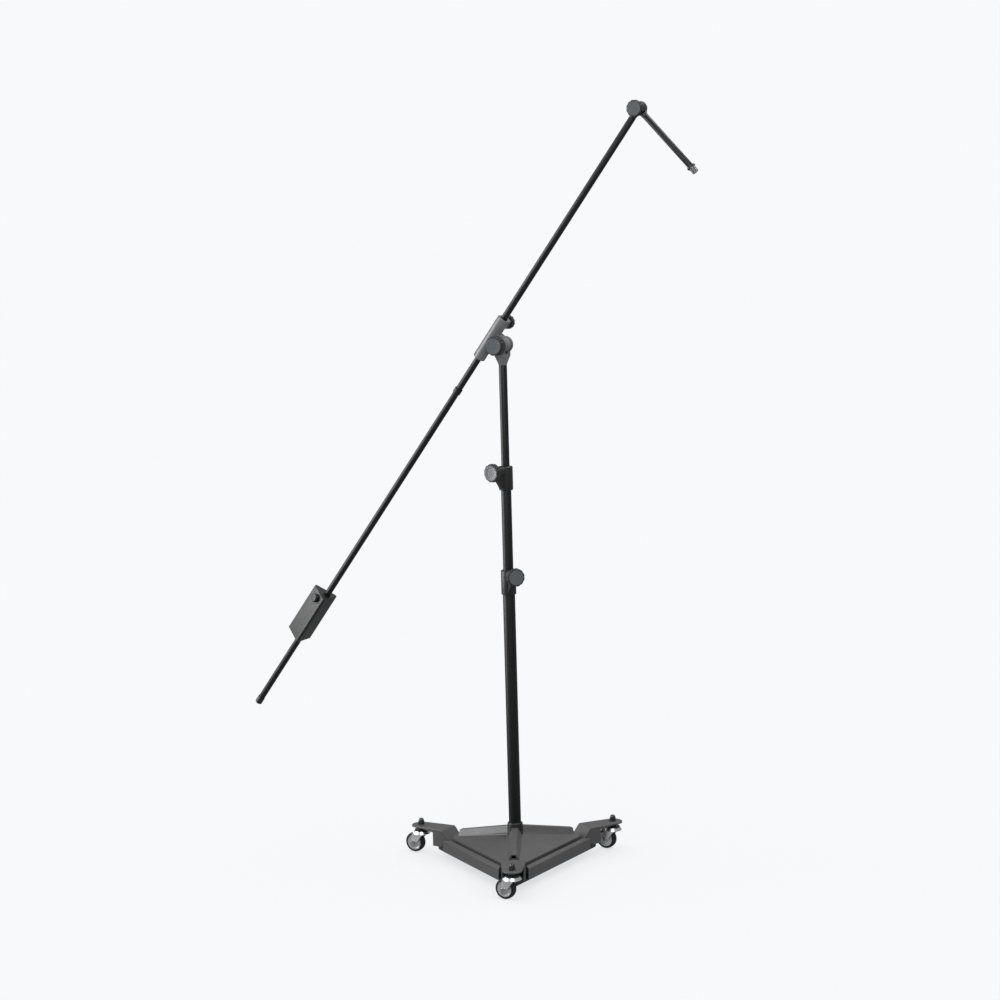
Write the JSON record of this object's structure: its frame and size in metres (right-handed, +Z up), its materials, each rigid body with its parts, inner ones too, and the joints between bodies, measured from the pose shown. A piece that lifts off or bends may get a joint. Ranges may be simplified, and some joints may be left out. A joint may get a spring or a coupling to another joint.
{
  "type": "boom microphone stand",
  "caption": "Telescopic microphone boom stand with a sliding counterweight, tilting clutch head, short hinged end boom and a weighted three-cornered base on castors.",
  "frame": {"origin": "on the mast's axis at floor level", "axes": "+Z up the mast, +X the way the boom's microphone end points at rest, +Y away from the side that the boom's clamp knobs face"},
  "size_m": [1.2734, 0.5318, 1.8643],
  "materials": {
    "cast_iron_black": "rough black enamel over cast iron",
    "base_grey": "satin dark grey powder coat",
    "tube_black": "semi-gloss black",
    "clamp_black": "satin black casting",
    "knob_black": "fine-grained black plastic",
    "cap_slate": "smooth slate grey",
    "cast_grey": "grey enamelled casting",
    "bush_nylon": "pale nylon",
    "friction_black": "dense friction facing",
    "zinc": "bright zinc plate",
    "bolt_steel": "plated steel",
    "nut_black": "black oxide",
    "hub_grey": "moulded hub",
    "tyre_black": "black rubber"
  },
  "bodies": {
    "base": {"base_weight": "cast_iron_black", "base_cover": "base_grey", "base_screws": "nut_black", "side_rail_1": "base_grey", "side_rail_2": "base_grey", "side_rail_3": "base_grey", "outrigger_1": "base_grey", "outrigger_2": "base_grey", "outrigger_3": "base_grey", "caster_stems": "bolt_steel", "caster_nuts": "nut_black", "mast_socket": "clamp_black", "mast_bolt": "bolt_steel", "lower_tube": "tube_black", "lower_collar": "clamp_black", "lower_bush": "bush_nylon"},
    "middle_mast": {"middle_tube": "tube_black", "middle_collar": "clamp_black"},
    "pan_bush": {"middle_bush": "bush_nylon"},
    "upper_mast": {"upper_tube": "tube_black", "yoke": "cast_grey", "tilt_bolt": "cast_grey"},
    "boom_clamp": {"boom_holder": "cast_grey", "clutch_discs": "friction_black"},
    "liner": {"boom_liner": "bush_nylon"},
    "boom": {"boom_front_tube": "tube_black", "boom_rear_tube": "tube_black", "boom_coupling": "tube_black", "boom_end_cap": "knob_black", "boom_knuckle": "clamp_black"},
    "weight": {"counterweight": "cast_iron_black"},
    "thumb_screw": {"weight_screw": "knob_black"},
    "mini_boom": {"mini_knuckle": "clamp_black", "knuckle_bolt": "bolt_steel", "mini_tube": "tube_black", "mic_stud": "bolt_steel"},
    "knob_lower": {"lower_knob": "knob_black", "lower_knob_cap": "cap_slate", "lower_knob_stud": "bolt_steel"},
    "knob_middle": {"middle_knob": "knob_black", "middle_knob_cap": "cap_slate", "middle_knob_stud": "bolt_steel"},
    "knob_tilt": {"tilt_knob": "knob_black", "tilt_knob_cap": "cap_slate"},
    "knob_lock": {"lock_knob": "knob_black", "lock_stud": "bolt_steel"},
    "knob_knuckle": {"knuckle_knob": "knob_black", "knuckle_knob_cap": "cap_slate"},
    "caster_1": {"caster_fork_1": "zinc", "caster_axle_1": "bolt_steel"},
    "wheel_1": {"caster_wheel_1": "hub_grey", "caster_tyre_1": "tyre_black"},
    "caster_2": {"caster_fork_2": "zinc", "caster_axle_2": "bolt_steel"},
    "wheel_2": {"caster_wheel_2": "hub_grey", "caster_tyre_2": "tyre_black"},
    "caster_3": {"caster_fork_3": "zinc", "caster_axle_3": "bolt_steel"},
    "wheel_3": {"caster_wheel_3": "hub_grey", "caster_tyre_3": "tyre_black"}
  },
  "joints": [
    {"name": "mast_mid_slide", "type": "slide", "parent": "base", "child": "middle_mast", "axis": [0, 0, 1], "range_m": [-0.195, 0.38]},
    {"name": "boom_pan", "type": "hinge", "parent": "middle_mast", "child": "pan_bush", "pos_m": [0, 0, 0.976], "axis": [0, 0, 1], "continuous": true},
    {"name": "mast_top_slide", "type": "slide", "parent": "pan_bush", "child": "upper_mast", "axis": [0, 0, 1], "range_m": [-0.19, 0.38]},
    {"name": "boom_tilt", "type": "hinge", "parent": "upper_mast", "child": "boom_clamp", "pos_m": [0, 0, 1.2937], "axis": [0, 1, 0], "range_deg": [-12, 83]},
    {"name": "boom_roll", "type": "hinge", "parent": "boom_clamp", "child": "liner", "pos_m": [-0.02623, 0, 1.31339], "axis": [0.6004, 0, 0.7997], "continuous": true},
    {"name": "boom_slide", "type": "slide", "parent": "liner", "child": "boom", "axis": [0.6004, 0, 0.7997], "range_m": [-0.57, 0.085]},
    {"name": "counterweight_slide", "type": "slide", "parent": "boom", "child": "weight", "axis": [0.6004, 0, 0.7997], "range_m": [-0.2, 0.6]},
    {"name": "mini_boom_tilt", "type": "hinge", "parent": "boom", "child": "mini_boom", "pos_m": [0.37239, 0, 1.8443], "axis": [0, 1, 0], "range_deg": [-190, 28]},
    {"name": "lower_knob_turn", "type": "hinge", "parent": "base", "child": "knob_lower", "pos_m": [0, 0, 0.733], "axis": [0.7314, -0.682, 0], "range_deg": [0, 360]},
    {"name": "middle_knob_turn", "type": "hinge", "parent": "middle_mast", "child": "knob_middle", "pos_m": [0, 0, 0.988], "axis": [-0.1736, -0.9848, 0], "range_deg": [0, 360]},
    {"name": "tilt_knob_turn", "type": "hinge", "parent": "upper_mast", "child": "knob_tilt", "pos_m": [0, 0, 1.2937], "axis": [0, -1, 0], "range_deg": [0, 360]},
    {"name": "lock_knob_turn", "type": "hinge", "parent": "boom_clamp", "child": "knob_lock", "pos_m": [-0.00161, 0, 1.34618], "axis": [0, 1, 0], "range_deg": [0, 360]},
    {"name": "weight_screw_turn", "type": "hinge", "parent": "weight", "child": "thumb_screw", "pos_m": [-0.54286, -0.0201, 0.64463], "axis": [-0.3998, -0.866, 0.3002], "range_deg": [0, 360]},
    {"name": "knuckle_knob_turn", "type": "hinge", "parent": "mini_boom", "child": "knob_knuckle", "pos_m": [0.37239, 0, 1.8443], "axis": [0, -1, 0], "range_deg": [0, 360]},
    {"name": "caster_swivel_1", "type": "hinge", "parent": "base", "child": "caster_1", "pos_m": [0.12274, -0.25166, 0.056], "axis": [0, 0, 1], "continuous": true},
    {"name": "wheel_roll_1", "type": "hinge", "parent": "caster_1", "child": "wheel_1", "pos_m": [0.10474, -0.25166, 0.025], "axis": [0, 1, 0], "continuous": true},
    {"name": "caster_swivel_2", "type": "hinge", "parent": "base", "child": "caster_2", "pos_m": [0.15657, 0.23213, 0.056], "axis": [0, 0, 1], "continuous": true},
    {"name": "wheel_roll_2", "type": "hinge", "parent": "caster_2", "child": "wheel_2", "pos_m": [0.13857, 0.23213, 0.025], "axis": [0, 1, 0], "continuous": true},
    {"name": "caster_swivel_3", "type": "hinge", "parent": "base", "child": "caster_3", "pos_m": [-0.27932, 0.01953, 0.056], "axis": [0, 0, 1], "continuous": true},
    {"name": "wheel_roll_3", "type": "hinge", "parent": "caster_3", "child": "wheel_3", "pos_m": [-0.29732, 0.01953, 0.025], "axis": [0, 1, 0], "continuous": true}
  ]
}
